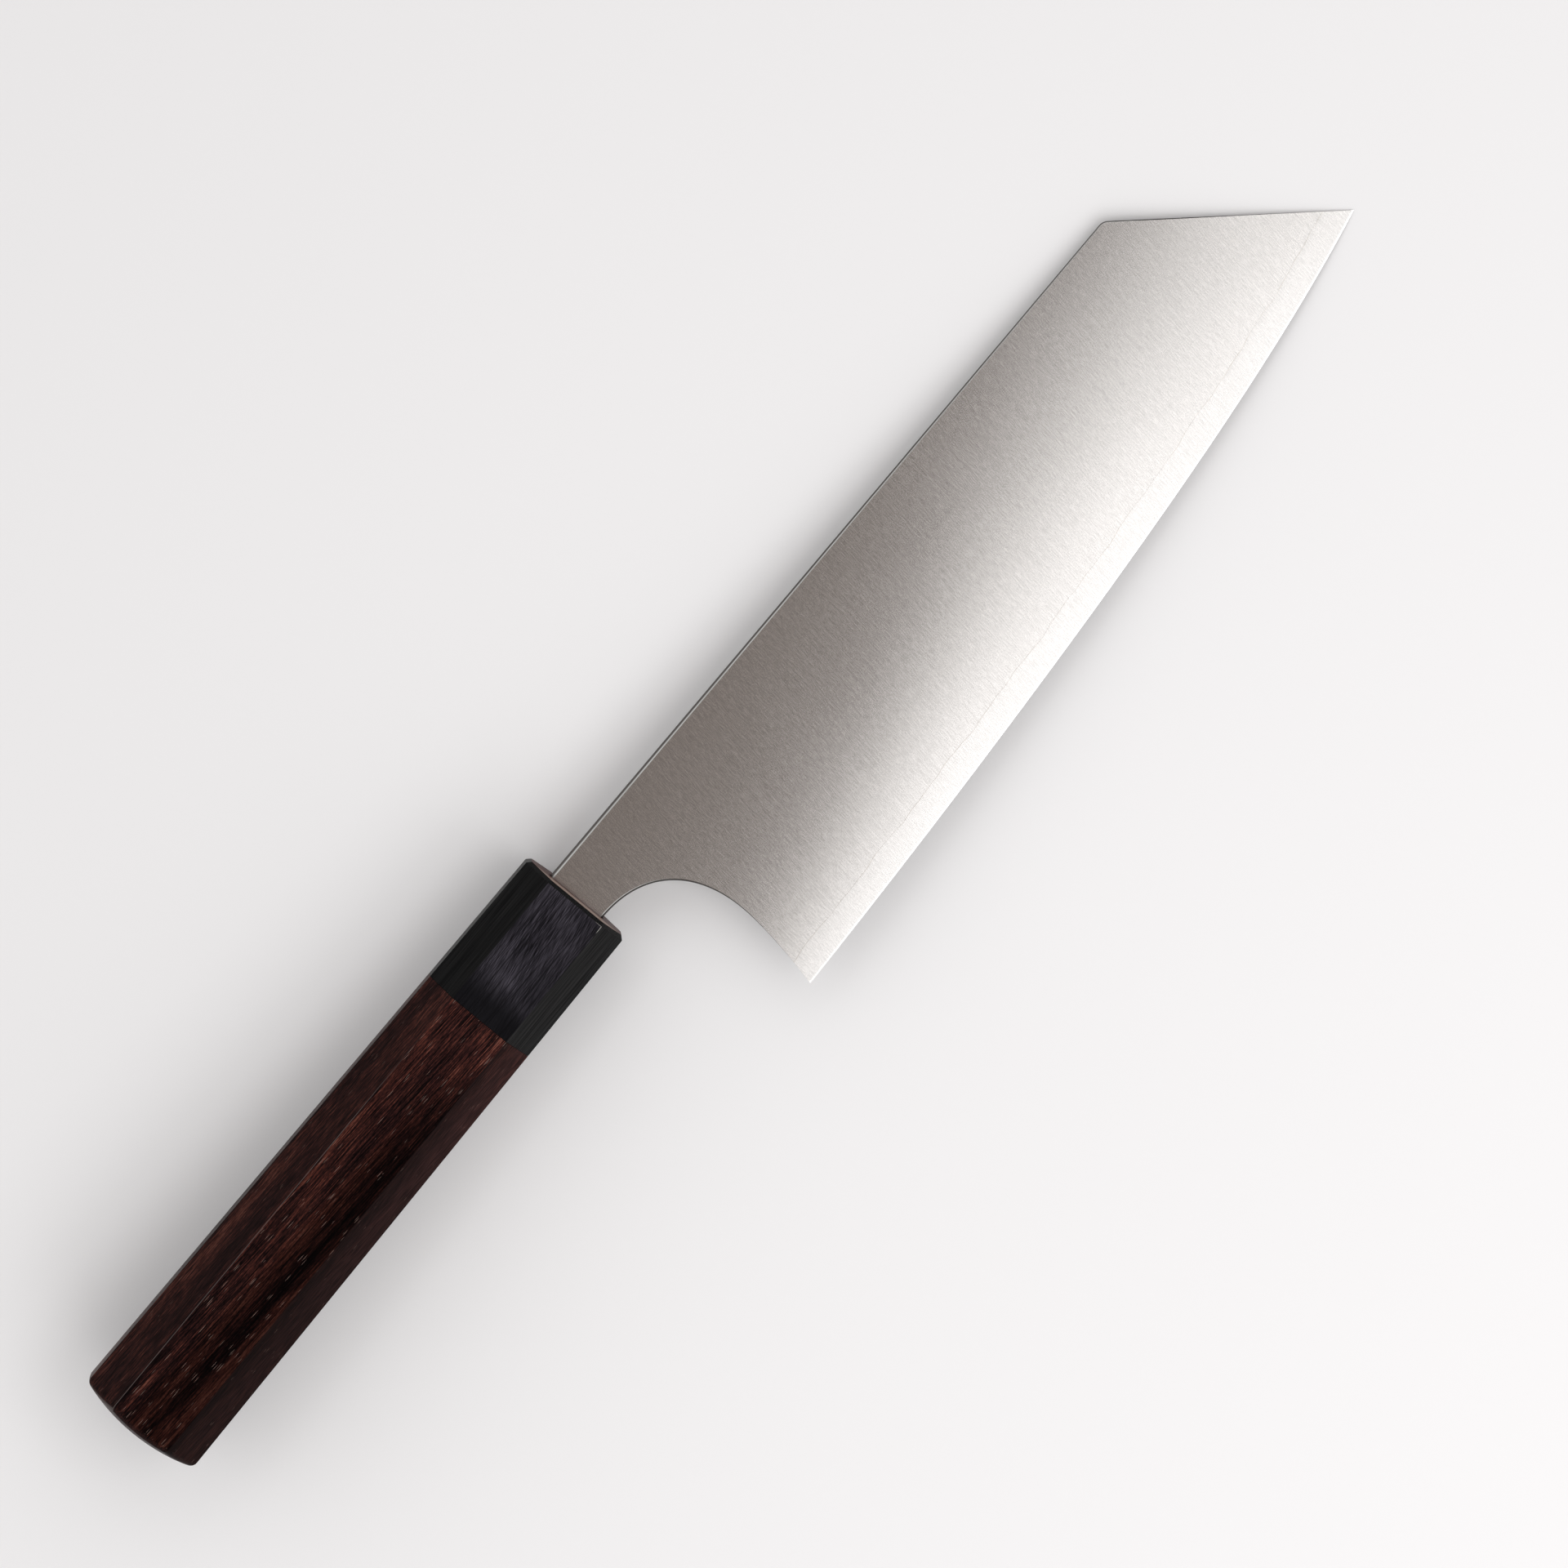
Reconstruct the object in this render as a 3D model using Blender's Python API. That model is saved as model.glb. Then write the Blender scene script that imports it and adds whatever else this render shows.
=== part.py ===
"""Bunka knife: a laminated, fully ground blade in an octagonal two-piece handle.

The origin is the middle of the ferrule's front face. +X runs along the handle's axis to the tip, +Y
points to the spine and +Z out of the blade's right face. All sizes are in metres.
"""

from math import atan2, cos, hypot, pi, radians, sin, sqrt, tan

import bmesh
import bpy
from mathutils import Matrix, Vector
from mathutils.geometry import interpolate_bezier

# Blade profile, seen from the right face
HEEL_SETBACK = 0.0156  # ferrule face to heel
HEEL_DEPTH = 0.0452  # heel below the handle's axis
EDGE_LENGTH = 0.180  # heel to tip, along the handle's axis
TIP_RISE = 0.0146  # tip above the heel
EDGE_LEAN_SHARE = 0.28  # share of the rise that is a straight line
EDGE_BELLY_SHARE = 0.50  # share of the rise that is a parabola; the rest sweeps up at the tip
TIP_SWEEP_POWER = 6
SPINE_HEIGHT = 0.00645  # spine above the handle's axis, at the ferrule
SPINE_LENGTH = 0.1634  # ferrule face to the corner where the spine is clipped
SPINE_FALL = 0.0014  # fall of the spine over that length
CLIP_CORNER_RADIUS = 0.0024
NECK_WIDTH = 0.0129

# Choil, the hollow between the neck and the heel
CHOIL_REACH = 0.01844  # ferrule face to the deepest point of the hollow
CHOIL_DEPTH = 0.0258  # deepest point below the handle's axis
CHOIL_NECK_PULL = 0.0125  # lengths of the curve's handles
CHOIL_THROAT_PULL = 0.0110
CHOIL_LOWER_PULL = 0.0050
CHOIL_HEEL_PULL = 0.0065
HEEL_LEAN = 0.24  # how far the heel's back leans, across over along

# Blade section
SPINE_THICKNESS = 0.0020  # at the neck
CLIP_THICKNESS = 0.0009  # at the clipped corner, after the taper
EDGE_THICKNESS = 0.00016  # behind the cutting bevel
EDGE_BEVEL_HEIGHT = 0.00035
GRIND_POWER = 2.0  # 1 is a flat wedge, more is a fuller convex face
CORE_SHOWN = 0.0052  # height of the hard core that the grind lays bare above the edge
BOND_LINE = 0.00001  # between the core and a cladding
RIM_CROWN = 1.05  # height of the rim's round over half the spine's thickness, so that the faces cut it

# Tang, hidden in the handle
NECK_SEAT = 0.0070  # length of the neck inside the ferrule
TANG_LENGTH = 0.095  # ferrule face to the tang's end
TANG_ROOT_WIDTH = 0.0090
TANG_END_WIDTH = 0.0050

# Handle
HANDLE_LENGTH = 0.1335
FERRULE_LENGTH = 0.0293
FRONT_WIDTH = 0.0237  # across the side flats, in line with the blade
BUTT_WIDTH = 0.0262
FRONT_DEPTH = 0.0196  # across the top and bottom flats, through the blade
BUTT_DEPTH = 0.0218
FRONT_TOP_FLAT = 0.0132
BUTT_TOP_FLAT = 0.0134
FRONT_SIDE_FLAT = 0.0068
BUTT_SIDE_FLAT = 0.0074
ARRIS_RADIUS = 0.0004
FERRULE_CHAMFER = 0.0008
BUTT_DOME_RADIUS = 0.039
BUTT_EDGE_RADIUS = 0.0016

# Inside the handle
DOWEL_DIAMETER = 0.0120
DOWEL_CHAMFER = 0.0005
DOWEL_SOLID_END = 0.0060  # length of the dowel behind its saw kerf
BEDDING_WIDTH = 0.0112
BEDDING_END = 0.0030  # length of the bedding behind the tang
SLOT_GAP = 0.00025  # round the neck in the ferrule, and beside the tang in the kerf
GLUE_GAP = 0.0002  # round the dowel and the bedding
JOINT_GAP = 0.00005  # between the ferrule and the handle's body

# Fineness of the facets
MARGIN = 0.006  # how far a cutter passes what it cuts
CHOIL_STEPS = 20
EDGE_STEPS = 32
GRIND_ROWS = 8
RIM_STEPS = 5
FLAT_STEPS = 5
DOME_STEPS = 6
ROUND_STEPS = 48

# Worked out from the sizes above
TIP_X = HEEL_SETBACK + EDGE_LENGTH
TIP_Y = TIP_RISE - HEEL_DEPTH
NECK_LOW = SPINE_HEIGHT - NECK_WIDTH
GRIND_HEIGHT = SPINE_HEIGHT + HEEL_DEPTH
SHEET_REACH = SPINE_THICKNESS  # how far the cutters of the laminae stand above the blade's middle
KERF = SPINE_THICKNESS + 2 * SLOT_GAP
DOWEL_FRONT = -NECK_SEAT - GLUE_GAP
KERF_END = -TANG_LENGTH - BEDDING_END - 2 * GLUE_GAP
DOWEL_END = KERF_END - DOWEL_SOLID_END
BODY_FRONT = -FERRULE_LENGTH - JOINT_GAP


def blend(start, end, share):
    return start + (end - start) * share


# Blade surfaces


def spine_y(x):
    return SPINE_HEIGHT - SPINE_FALL * x / SPINE_LENGTH


def edge_y(x):
    """The cutting edge: nearly straight at the heel, with a belly that quickens towards the tip."""
    share = (x - HEEL_SETBACK) / EDGE_LENGTH
    sweep = (1 - EDGE_LEAN_SHARE - EDGE_BELLY_SHARE) * share**TIP_SWEEP_POWER
    return TIP_RISE * (EDGE_LEAN_SHARE * share + EDGE_BELLY_SHARE * share**2 + sweep) - HEEL_DEPTH


def stock_half(x):
    """Half the blade's thickness at its spine: full in the handle, then thinner towards the tip."""
    return blend(SPINE_THICKNESS, CLIP_THICKNESS, max(x, 0) / SPINE_LENGTH) / 2


def ground_half(x, height):
    """Half the blade's thickness at a height above the edge, on the convex faces."""
    share = min(max(height - EDGE_BEVEL_HEIGHT, 0) / (GRIND_HEIGHT - EDGE_BEVEL_HEIGHT), 1)
    return blend(EDGE_THICKNESS / 2, stock_half(x), 1 - (1 - share) ** GRIND_POWER)


def core_half(x):
    return ground_half(x, CORE_SHOWN)


def tang_half(x):
    share = (-x - NECK_SEAT) / (TANG_LENGTH - NECK_SEAT)
    return blend(TANG_ROOT_WIDTH, TANG_END_WIDTH, share) / 2


def choil_points():
    """From the ferrule's face round the hollow to the heel: two Bezier curves that meet at its deepest."""
    neck = Vector((0, NECK_LOW))
    deepest = Vector((CHOIL_REACH, -CHOIL_DEPTH))
    heel = Vector((HEEL_SETBACK, -HEEL_DEPTH))
    upper = interpolate_bezier(
        neck,
        neck + Vector((CHOIL_NECK_PULL, 0)),
        deepest + Vector((0, CHOIL_THROAT_PULL)),
        deepest,
        CHOIL_STEPS,
    )
    lower = interpolate_bezier(
        deepest,
        deepest - Vector((0, CHOIL_LOWER_PULL)),
        heel + CHOIL_HEEL_PULL * Vector((HEEL_LEAN, 1)),
        heel,
        CHOIL_STEPS // 2,
    )
    return upper + lower[1:]


def corner_arc(before, corner, after, radius, steps):
    """Points of the arc that rounds the corner of a path."""
    towards = (before - corner).normalized()
    away = (after - corner).normalized()
    half_angle = towards.angle(away) / 2
    centre = corner + (towards + away).normalized() * radius / sin(half_angle)
    start = corner + towards * radius / tan(half_angle) - centre
    sweep = start.angle_signed(corner + away * radius / tan(half_angle) - centre)
    turns = [Matrix.Rotation(-sweep * step / steps, 2) for step in range(steps + 1)]
    return [centre + turn @ start for turn in turns]


def blade_outline():
    """The blank's outline with its tang, anticlockwise. It passes below the edge, which the grind makes."""
    heel_run_out = Vector((HEEL_SETBACK, -HEEL_DEPTH)) - MARGIN * Vector((HEEL_LEAN, 1))
    tip = Vector((TIP_X, TIP_Y))
    clip_corner = Vector((SPINE_LENGTH, spine_y(SPINE_LENGTH)))
    tip_run_out = tip + (tip - clip_corner).normalized() * MARGIN
    below_tip = Vector((tip_run_out.x, heel_run_out.y))
    spine_start = Vector((-NECK_SEAT, spine_y(-NECK_SEAT)))
    tang_below = [Vector((x, -tang_half(x))) for x in (-TANG_LENGTH, -NECK_SEAT)]
    tang_above = [Vector((x, tang_half(x))) for x in (-NECK_SEAT, -TANG_LENGTH)]
    clip = corner_arc(tip_run_out, clip_corner, spine_start, CLIP_CORNER_RADIUS, RIM_STEPS)
    below = [*tang_below, Vector((-NECK_SEAT, NECK_LOW)), *choil_points(), heel_run_out]
    return [*below, below_tip, tip_run_out, *clip, spine_start, *tang_above]


def inward(outline):
    """For each corner of an anticlockwise outline, the move that sets both its sides in by one."""
    moves = []
    for before, here, after in zip(outline[-1:] + outline[:-1], outline, outline[1:] + outline[:1]):
        first = (here - before).normalized()
        second = (after - here).normalized()
        first_normal = Vector((-first.y, first.x))
        second_normal = Vector((-second.y, second.x))
        moves.append((first_normal + second_normal) / (1 + first_normal.dot(second_normal)))
    return moves


# Mesh builders


def mesh_of_rings(name, rings):
    """A closed mesh lofted through rings of points. A last ring of one point closes it to a tip."""
    bm = bmesh.new()
    made = [[bm.verts.new(point) for point in ring] for ring in rings]
    for ring, following in zip(made, made[1:]):
        for i, corner in enumerate(ring):
            j = (i + 1) % len(ring)
            if len(following) == 1:
                bm.faces.new((corner, ring[j], following[0]))
            else:
                bm.faces.new((corner, ring[j], following[j], following[i]))
    bm.faces.new(made[0])
    if len(made[-1]) > 1:
        bm.faces.new(made[-1])
    bmesh.ops.recalc_face_normals(bm, faces=bm.faces)
    mesh = bpy.data.meshes.new(name)
    bm.to_mesh(mesh)
    bm.free()
    return mesh


def add(name, mesh, collection, x=0.0):
    piece = bpy.data.objects.new(name, mesh)
    piece.location.x = x
    collection.objects.link(piece)
    return piece


def add_cutter(name, mesh, x=0.0):
    cutter = add(name, mesh, cutters, x)
    cutter.hide_render = True
    cutter.display_type = "WIRE"
    return cutter


def box_mesh(name, low, high):
    corners = [(low[1], low[2]), (high[1], low[2]), (high[1], high[2]), (low[1], high[2])]
    return mesh_of_rings(name, [[(x, y, z) for y, z in corners] for x in (low[0], high[0])])


def rod_mesh(name, radius, length, chamfer=0.0):
    """A round rod from x = 0 back to -length, with its ends chamfered."""
    stations = [(0, radius - chamfer), (-length, radius - chamfer)]
    if chamfer:
        stations[1:1] = [(-chamfer, radius), (chamfer - length, radius)]
    turns = [2 * pi * step / ROUND_STEPS for step in range(ROUND_STEPS)]
    return mesh_of_rings(name, [[(x, r * cos(turn), r * sin(turn)) for turn in turns] for x, r in stations])


def boolean(piece, cutter, operation):
    modifier = piece.modifiers.new(cutter.name, "BOOLEAN")
    modifier.operation = operation
    modifier.object = cutter


def dress(piece, colour, roughness, metallic):
    material = bpy.data.materials.new(piece.name)
    material.use_nodes = True
    shader = material.node_tree.nodes["Principled BSDF"]
    shader.inputs["Base Color"].default_value = (*colour, 1)
    shader.inputs["Roughness"].default_value = roughness
    shader.inputs["Metallic"].default_value = metallic
    piece.data.materials.append(material)
    piece.data.shade_smooth()
    piece.data.set_sharp_from_angle(angle=radians(20))


# Blade


def profiled_plate(name):
    """The flat blank, cut to the outline and polished full round on its rim."""
    outline = blade_outline()
    moves = inward(outline)
    rings = []
    for step in range(-RIM_STEPS, RIM_STEPS + 1):
        angle = step / RIM_STEPS * pi / 2
        ring = []
        for point, move in zip(outline, moves):
            half = stock_half(point.x)
            flat = point + move * half * (1 - cos(angle))
            ring.append((*flat, RIM_CROWN * half * sin(angle)))
        rings.append(ring)
    lowest = [(x, y, -SHEET_REACH) for x, y, _ in rings[0]]
    highest = [(x, y, SHEET_REACH) for x, y, _ in rings[-1]]
    return mesh_of_rings(name, [lowest, *rings, highest])



def blade_stations():
    along_edge = [HEEL_SETBACK + EDGE_LENGTH * step / EDGE_STEPS for step in range(EDGE_STEPS + 1)]
    return [-TANG_LENGTH - MARGIN, 0.0, *along_edge, TIP_X + MARGIN]


def ground_wedge():
    """The space between the two convex faces, from the cutting edge to above the spine."""
    heights = [GRIND_HEIGHT * (row / GRIND_ROWS) ** 1.5 for row in range(1, GRIND_ROWS + 1)]
    rings = []
    for x in blade_stations():
        side = [(edge_y(x) + height, ground_half(x, height)) for height in [EDGE_BEVEL_HEIGHT, *heights]]
        side.append((SPINE_HEIGHT + MARGIN, stock_half(x)))
        section = [(edge_y(x), 0), *side, *[(y, -z) for y, z in reversed(side)]]
        rings.append([(x, y, z) for y, z in section])
    return mesh_of_rings("ground_wedge", rings)


def lamina(name, lower, upper):
    """The space of one layer of the billet, between two heights that follow the taper."""
    low_y = -HEEL_DEPTH - MARGIN
    high_y = SPINE_HEIGHT + MARGIN
    rings = []
    for x in (-TANG_LENGTH - MARGIN, 0.0, TIP_X + MARGIN):
        section = [(low_y, lower(x)), (high_y, lower(x)), (high_y, upper(x)), (low_y, upper(x))]
        rings.append([(x, y, z) for y, z in section])
    return mesh_of_rings(name, rings)


def make_blade():
    """Three layers of one billet: a hard core between two soft claddings, ground as one."""
    wedge = add_cutter("ground_wedge", ground_wedge())

    def core_face(x):
        return core_half(x) - BOND_LINE / 2

    def cladding_face(x):
        return core_half(x) + BOND_LINE / 2

    layers = {
        "core_steel": (lambda x: -core_face(x), core_face),
        "cladding_right": (cladding_face, lambda x: SHEET_REACH),
        "cladding_left": (lambda x: -SHEET_REACH, lambda x: -cladding_face(x)),
    }
    for name, (lower, upper) in layers.items():
        piece = add(name, profiled_plate(name), parts)
        boolean(piece, wedge, "INTERSECT")
        boolean(piece, add_cutter(f"{name}_layer", lamina(f"{name}_layer", lower, upper)), "INTERSECT")
        if name == "core_steel":
            dress(piece, (0.62, 0.62, 0.61), 0.28, 1.0)
        else:
            dress(piece, (0.56, 0.55, 0.53), 0.34, 1.0)


# Handle


def octagon(x, inset=0.0):
    """The handle's section at x, as its four corners on the +Y side, from bottom to top."""
    share = -x / HANDLE_LENGTH
    width = blend(FRONT_WIDTH, BUTT_WIDTH, share) / 2 - inset
    depth = blend(FRONT_DEPTH, BUTT_DEPTH, share) / 2 - inset
    top = blend(FRONT_TOP_FLAT, BUTT_TOP_FLAT, share) / 2 - inset * tan(pi / 8)
    side = blend(FRONT_SIDE_FLAT, BUTT_SIDE_FLAT, share) / 2 - inset * tan(pi / 8)
    return [(top, -depth), (width, -side), (width, side), (top, depth)]


def handle_section(x, inset=0.0):
    """The octagon at x with rounded arrises and each flat split for the dome, as points round the axis."""
    right = [Vector(corner) for corner in octagon(x, inset)]
    corners = right + [Vector((-corner.x, corner.y)) for corner in reversed(right)]
    cut = ARRIS_RADIUS * tan(pi / 8)
    rounded = []
    for before, corner, after in zip(corners[-1:] + corners[:-1], corners, corners[1:] + corners[:1]):
        start = corner + (before - corner).normalized() * cut
        end = corner + (after - corner).normalized() * cut
        rounded.append((start, (start + 2 * corner + end) / 4, end))
    points = []
    for arris, following in zip(rounded, rounded[1:] + rounded[:1]):
        points += arris
        points += [arris[-1].lerp(following[0], step / FLAT_STEPS) for step in range(1, FLAT_STEPS)]
    return points


def domed_rings():
    """Rings from the handle's side round the butt's edge and over its dome to the middle."""
    dome_centre = BUTT_DOME_RADIUS - HANDLE_LENGTH
    rim = []
    for i, point in enumerate(handle_section(-HANDLE_LENGTH)):
        reach = point.length - BUTT_EDGE_RADIUS
        edge_centre = dome_centre - sqrt((BUTT_DOME_RADIUS - BUTT_EDGE_RADIUS) ** 2 - reach**2)
        side_point = handle_section(edge_centre)[i]
        turn = atan2(dome_centre - edge_centre, reach)
        rim.append((side_point, edge_centre, turn))
    rings = []
    for step in range(RIM_STEPS + 1):
        ring = []
        for side_point, edge_centre, turn in rim:
            angle = turn * step / RIM_STEPS
            radius = side_point.length - BUTT_EDGE_RADIUS * (1 - cos(angle))
            ring.append((edge_centre - BUTT_EDGE_RADIUS * sin(angle), *(side_point.normalized() * radius)))
        rings.append(ring)
    last = rings[-1]
    for step in range(DOME_STEPS - 1, 0, -1):
        ring = []
        for _, y, z in last:
            y, z = y * step / DOME_STEPS, z * step / DOME_STEPS
            ring.append((dome_centre - sqrt(BUTT_DOME_RADIUS**2 - hypot(y, z) ** 2), y, z))
        rings.append(ring)
    return [*rings, [(-HANDLE_LENGTH, 0, 0)]]


def handle_ring(x, inset=0.0):
    return [(x, *point) for point in handle_section(x, inset)]


def moved(rings, x):
    return [[(point[0] - x, point[1], point[2]) for point in ring] for ring in rings]


def make_ferrule(bore):
    rings = [handle_ring(0, FERRULE_CHAMFER), handle_ring(-FERRULE_CHAMFER), handle_ring(-FERRULE_LENGTH)]
    ferrule = add("ferrule", mesh_of_rings("ferrule", rings), parts)
    low = (DOWEL_FRONT - SLOT_GAP, NECK_LOW - SLOT_GAP, -KERF / 2)
    high = (MARGIN, SPINE_HEIGHT + SLOT_GAP, KERF / 2)
    boolean(ferrule, add_cutter("neck_slot", box_mesh("neck_slot", low, high)), "DIFFERENCE")
    boolean(ferrule, bore, "DIFFERENCE")
    dress(ferrule, (0.018, 0.017, 0.020), 0.36, 0.0)


def make_handle_body(bore):
    rings = moved([handle_ring(BODY_FRONT), *domed_rings()], BODY_FRONT)
    body = add("handle_body", mesh_of_rings("handle_body", rings), parts, BODY_FRONT)
    boolean(body, bore, "DIFFERENCE")
    dress(body, (0.055, 0.018, 0.012), 0.42, 0.0)


def make_dowel():
    """The hardwood dowel that lines up ferrule and body, sawn lengthwise for the tang."""
    mesh = rod_mesh("dowel", DOWEL_DIAMETER / 2, DOWEL_FRONT - DOWEL_END, DOWEL_CHAMFER)
    dowel = add("dowel", mesh, parts, DOWEL_FRONT)
    low = (KERF_END, -DOWEL_DIAMETER, -KERF / 2)
    high = (DOWEL_FRONT + MARGIN, DOWEL_DIAMETER, KERF / 2)
    boolean(dowel, add_cutter("saw_kerf", box_mesh("saw_kerf", low, high)), "DIFFERENCE")
    dress(dowel, (0.50, 0.33, 0.17), 0.7, 0.0)


def make_bedding():
    """The hardened resin that fills the kerf above, below and behind the tapering tang."""
    half_thickness = KERF / 2 - GLUE_GAP
    low = (KERF_END + GLUE_GAP, -BEDDING_WIDTH / 2, -half_thickness)
    high = (DOWEL_FRONT, BEDDING_WIDTH / 2, half_thickness)
    bedding = add("tang_bedding", box_mesh("tang_bedding", low, high), parts)
    rings = []
    for x in (-TANG_LENGTH - GLUE_GAP, MARGIN):
        half = tang_half(x) + GLUE_GAP
        rings.append([(x, -half, -KERF), (x, half, -KERF), (x, half, KERF), (x, -half, KERF)])
    boolean(bedding, add_cutter("tang_recess", mesh_of_rings("tang_recess", rings)), "DIFFERENCE")
    dress(bedding, (0.35, 0.24, 0.12), 0.35, 0.0)


for old in list(bpy.data.objects):
    bpy.data.objects.remove(old)
parts = bpy.data.collections.new("bunka_knife")
cutters = bpy.data.collections.new("cutters")
for group in (parts, cutters):
    bpy.context.scene.collection.children.link(group)

make_blade()
bore_mesh = rod_mesh("dowel_bore", DOWEL_DIAMETER / 2 + GLUE_GAP, DOWEL_FRONT - DOWEL_END + 2 * GLUE_GAP)
dowel_bore = add_cutter("dowel_bore", bore_mesh, DOWEL_FRONT + GLUE_GAP)
make_ferrule(dowel_bore)
make_handle_body(dowel_bore)
make_dowel()
make_bedding()

frame = bpy.data.objects.new("knife_frame", None)
parts.objects.link(frame)
for piece in parts.objects:
    if piece is not frame:
        piece.parent = frame
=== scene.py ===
from math import asin, atan2, cos, hypot, pi, radians, sin, sqrt, tan

import bmesh
import bpy
import numpy as np
from mathutils import Matrix, Vector
from mathutils.geometry import delaunay_2d_cdt, interpolate_bezier


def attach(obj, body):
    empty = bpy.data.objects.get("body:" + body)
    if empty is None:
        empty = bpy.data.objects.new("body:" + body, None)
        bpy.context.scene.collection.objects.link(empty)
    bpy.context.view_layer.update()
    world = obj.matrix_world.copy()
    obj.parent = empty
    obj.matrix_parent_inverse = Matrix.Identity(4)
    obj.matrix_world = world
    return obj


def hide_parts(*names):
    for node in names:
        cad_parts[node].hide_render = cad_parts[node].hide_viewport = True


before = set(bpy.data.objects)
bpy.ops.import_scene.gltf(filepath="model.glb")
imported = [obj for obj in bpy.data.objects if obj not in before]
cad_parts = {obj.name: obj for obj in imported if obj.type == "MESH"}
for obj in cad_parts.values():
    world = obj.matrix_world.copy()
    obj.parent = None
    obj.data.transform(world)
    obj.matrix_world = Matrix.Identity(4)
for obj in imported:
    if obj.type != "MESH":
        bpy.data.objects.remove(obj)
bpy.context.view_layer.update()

# The shapes below repeat the sizes of the CAD part, in metres, with finer steps.

# Blade profile
HEEL_SETBACK = 0.0156
HEEL_DEPTH = 0.0452
EDGE_LENGTH = 0.180
TIP_RISE = 0.0146
EDGE_LEAN_SHARE = 0.28
EDGE_BELLY_SHARE = 0.50
EDGE_SWEEP_SHARE = 0.22
TIP_SWEEP_POWER = 6
SPINE_HEIGHT = 0.00645
SPINE_LENGTH = 0.1634
SPINE_FALL = 0.0014
CLIP_CORNER_RADIUS = 0.0024
NECK_WIDTH = 0.0129
CHOIL_REACH = 0.01844
CHOIL_DEPTH = 0.0258
CHOIL_NECK_PULL = 0.0125
CHOIL_THROAT_PULL = 0.0110
CHOIL_LOWER_PULL = 0.0050
CHOIL_HEEL_PULL = 0.0065
HEEL_LEAN = 0.24

# Blade section
SPINE_THICKNESS = 0.0020
CLIP_THICKNESS = 0.0009
EDGE_THICKNESS = 0.00016
EDGE_BEVEL_HEIGHT = 0.00035
RIM_CROWN = 1.05
CORE_SHOWN = 0.0052
BOND_LINE = 0.0000008  # between core and claddings where the ground face shows it
BOND_CLEARANCE = 0.00002  # between them where the claddings hide the core
CLEARED_WITHIN = 0.00035  # height above the line over which the first grows into the second

# Tang
NECK_SEAT = 0.0070
TANG_LENGTH = 0.095
TANG_ROOT_WIDTH = 0.0090
TANG_END_WIDTH = 0.0050

# Handle
HANDLE_LENGTH = 0.1335
FERRULE_LENGTH = 0.0293
FRONT_WIDTH = 0.0237
BUTT_WIDTH = 0.0262
FRONT_DEPTH = 0.0196
BUTT_DEPTH = 0.0218
FRONT_TOP_FLAT = 0.0132
BUTT_TOP_FLAT = 0.0134
FRONT_SIDE_FLAT = 0.0068
BUTT_SIDE_FLAT = 0.0074
JOINT_GAP = 0.00005
ROUNDING = 0.0000005  # keeps the octagon inside the CAD part's box
ARRIS_RADIUS = 0.0004
ARRIS_CUT = ARRIS_RADIUS * tan(pi / 8)
FERRULE_CHAMFER = 0.0008
BUTT_DOME_RADIUS = 0.039
BUTT_EDGE_RADIUS = 0.0016
FERRULE_RINGS_START = -0.002  # the first evenly spaced ring behind the chamfer
BUTT_RINGS_START = -0.125  # the last evenly spaced ring before the butt
SLOT_GAP = 0.00025
GLUE_GAP = 0.0002
CHAMFER_EASE = 0.00008  # rounding between the ferrule's chamfer and its neighbours
BORE_RADIUS = 0.0062
BORE_END = -0.1046
CUTTER_FRONT = 0.006  # how far a cutter passes the ferrule in front
CUTTER_REAR = -0.06  # where the cutter of the ferrule's bore ends, behind the ferrule

# Waves of the lamination line: height, radians to the metre, start
LINE_WAVES = ((0.00014, 310, 0.6), (0.00009, 560, 2.0), (0.00006, 1130, 4.1))

# Number of steps along each curve or line
THROAT_STEPS = 70
LOWER_CHOIL_STEPS = 50
CLIP_STEPS = 24
CLIP_CORNER_STEPS = 14
SPINE_STEPS = 60
NECK_STEPS = 3
TANG_STEPS = 12
CORE_RIM_STEPS = 7
CLADDING_RIM_STEPS = 8
ARRIS_STEPS = 6
FLAT_STEPS = 6
FERRULE_STEPS = 10
GRIP_STEPS = 30
BUTT_EDGE_STEPS = 10
BUTT_DOME_STEPS = 14
ROD_SIDES = 64

# Materials of the blade's faces, by their index
BRUSHED, POLISHED = 0, 1

# Spacing of the blade's points
LOW_SPACING = 0.0005  # along the edge and the lamination line
CORNER_SPACING = 0.0005  # smallest distance of a rim point from the ends of the low side
LOW_END_SPACING = 0.0002  # the same for a point of the low side
GRID_SPACING = 0.003
CORE_ROWS = [0.0009, 0.0018, 0.0028, 0.0039]
FIRST_CLADDING_ROWS = [0.0070, 0.0090]
CLADDING_ROW_START = 0.0112
CLADDING_ROW_SPACING = 0.0026
CLADDING_LOW_RUN = 0.0003
CORE_MARGIN = 0.0003  # the next four: smallest distance from the ring round the points
LINE_MARGIN = 0.0004
CLADDING_MARGIN = 0.0007
HIDDEN_ROW_MARGIN = 0.00025
MERGE_DISTANCE = 2e-8
TINY = 1e-18  # keeps a division from having a zero below

# Where the lamination line leaves the core's ring: nearer to the heel and the tip than these
NEAR_HEEL = Vector((0.03, -0.03))
NEAR_TIP_X = 0.18

# Angles above which neighbouring faces are shaded with a sharp edge between them, in degrees
BLADE_SHARP_ANGLE = 14
HANDLE_SHARP_ANGLE = 25

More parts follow.
